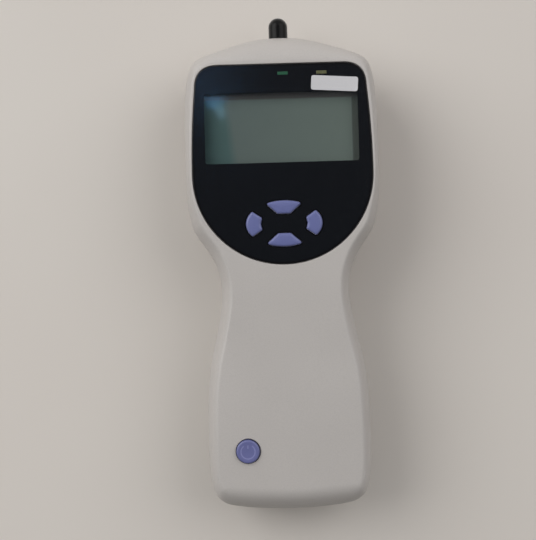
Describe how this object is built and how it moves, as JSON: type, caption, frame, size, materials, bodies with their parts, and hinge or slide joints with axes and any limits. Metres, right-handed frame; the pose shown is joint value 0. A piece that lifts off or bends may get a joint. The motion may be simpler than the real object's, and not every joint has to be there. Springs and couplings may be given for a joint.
{
  "type": "tympanometer",
  "caption": "Handheld tympanometer: waisted white casing, black glossy fascia with display and keys, capped ear probe at the head, battery door at the back.",
  "frame": {"origin": "middle of the bounding box's underside, on the surface that the instrument lies on", "axes": "+Z out of the fascia, +Y along the instrument towards the ear probe, +X to the right as the display is read"},
  "size_m": [0.0782, 0.2004, 0.0406],
  "materials": {
    "casing_plastic": "fine matt moulded ABS",
    "black_acrylic": "polished black acrylic",
    "clear_acrylic": "clear polished acrylic",
    "clear_film": "thin clear film with faint waves",
    "white_label": "coated paper, blank",
    "display_glass": "grey-green display glass, switched off",
    "milky_plastic": "milky moulded plastic",
    "green_plastic": "tinted light pipe",
    "yellow_plastic": "tinted light pipe, unlit",
    "key_plastic": "satin moulded key",
    "dark_plastic": "black moulded nylon",
    "cap_plastic": "glossy black moulded cap",
    "clear_cylinder": "clear polycarbonate",
    "black_rubber": "matt moulded rubber",
    "silicone": "milky silicone rubber",
    "circuit_board": "green solder mask on glass-fibre board",
    "steel": "zinc-plated steel",
    "nickel_plated_steel": "nickel-plated spring steel",
    "brass": "turned brass",
    "cell_jacket": "plain shrink sleeve"
  },
  "bodies": {
    "casing": {"front_shell": "casing_plastic", "rear_shell": "casing_plastic", "casing_screw_1": "steel", "casing_screw_2": "steel", "casing_screw_3": "steel", "casing_screw_4": "steel", "fascia_panel": "black_acrylic", "display_window": "clear_acrylic", "protective_film": "clear_film", "peel_tab": "white_label", "lcd_glass": "display_glass", "backlight": "milky_plastic", "lcd_frame": "dark_plastic", "green_led": "milky_plastic", "green_light_pipe": "green_plastic", "yellow_led": "milky_plastic", "yellow_light_pipe": "yellow_plastic", "switch_body_up": "dark_plastic", "switch_body_down": "dark_plastic", "switch_body_left": "dark_plastic", "switch_body_right": "dark_plastic", "switch_body_power": "dark_plastic", "main_board": "circuit_board", "pressure_sensor": "dark_plastic", "probe_tip": "silicone", "probe_gasket": "black_rubber", "probe_body": "dark_plastic", "speaker": "steel", "microphone": "brass", "pump_cylinder": "clear_cylinder", "pump_base": "dark_plastic", "pump_motor": "steel", "pump_tube": "silicone", "sensor_tube": "silicone", "cell_1": "cell_jacket", "cell_2": "cell_jacket", "cell_3": "cell_jacket", "cell_4": "cell_jacket", "contact_bridge": "nickel_plated_steel", "contact_plus": "nickel_plated_steel", "contact_minus": "nickel_plated_steel", "infrared_window": "black_acrylic", "infrared_transceiver": "dark_plastic"},
    "key_up": {"key_up": "key_plastic", "switch_plunger_up": "black_rubber"},
    "key_down": {"key_down": "key_plastic", "switch_plunger_down": "black_rubber"},
    "key_left": {"key_left": "key_plastic", "switch_plunger_left": "black_rubber"},
    "key_right": {"key_right": "key_plastic", "switch_plunger_right": "black_rubber"},
    "key_power": {"key_power": "key_plastic", "switch_plunger_power": "black_rubber"},
    "battery_door": {"battery_door": "casing_plastic"},
    "nose_cone": {"nose_cone": "dark_plastic"},
    "probe_cap": {"probe_cap": "cap_plastic"},
    "pump_piston": {"pump_piston": "dark_plastic", "piston_seal": "black_rubber"},
    "pump_pinion": {"pump_pinion": "brass"}
  },
  "joints": [
    {"name": "key_up_press", "type": "slide", "parent": "casing", "child": "key_up", "axis": [0, 0, -1], "range_m": [0, 0.0006], "stiffness_N_per_m": 800},
    {"name": "key_down_press", "type": "slide", "parent": "casing", "child": "key_down", "axis": [0, 0, -1], "range_m": [0, 0.0006], "stiffness_N_per_m": 800},
    {"name": "key_left_press", "type": "slide", "parent": "casing", "child": "key_left", "axis": [0, 0, -1], "range_m": [0, 0.0006], "stiffness_N_per_m": 800},
    {"name": "key_right_press", "type": "slide", "parent": "casing", "child": "key_right", "axis": [0, 0, -1], "range_m": [0, 0.0006], "stiffness_N_per_m": 800},
    {"name": "key_power_press", "type": "slide", "parent": "casing", "child": "key_power", "axis": [0, 0, -1], "range_m": [0, 0.0006], "stiffness_N_per_m": 800},
    {"name": "battery_door_swing", "type": "hinge", "parent": "casing", "child": "battery_door", "pos_m": [0, 0.014, 0.00025], "axis": [1, 0, 0], "range_deg": [0, 60]},
    {"name": "nose_cone_turn", "type": "hinge", "parent": "casing", "child": "nose_cone", "pos_m": [0, 0.091, 0.0185], "axis": [0, 1, 0], "range_deg": [0, 360]},
    {"name": "probe_cap_pull", "type": "slide", "parent": "nose_cone", "child": "probe_cap", "axis": [0, 1, 0], "range_m": [0, 0.014]},
    {"name": "pump_stroke", "type": "slide", "parent": "casing", "child": "pump_piston", "axis": [1, 0, 0], "range_m": [0, 0.012]},
    {"name": "pump_pinion_turn", "type": "hinge", "parent": "casing", "child": "pump_pinion", "pos_m": [0.005, 0.0549, 0.019], "axis": [0, 0, 1], "range_deg": [0, 144]}
  ],
  "couplings": [
    {"joint": "pump_pinion_turn", "follows": "pump_stroke", "rad_per_m": 208.33}
  ]
}
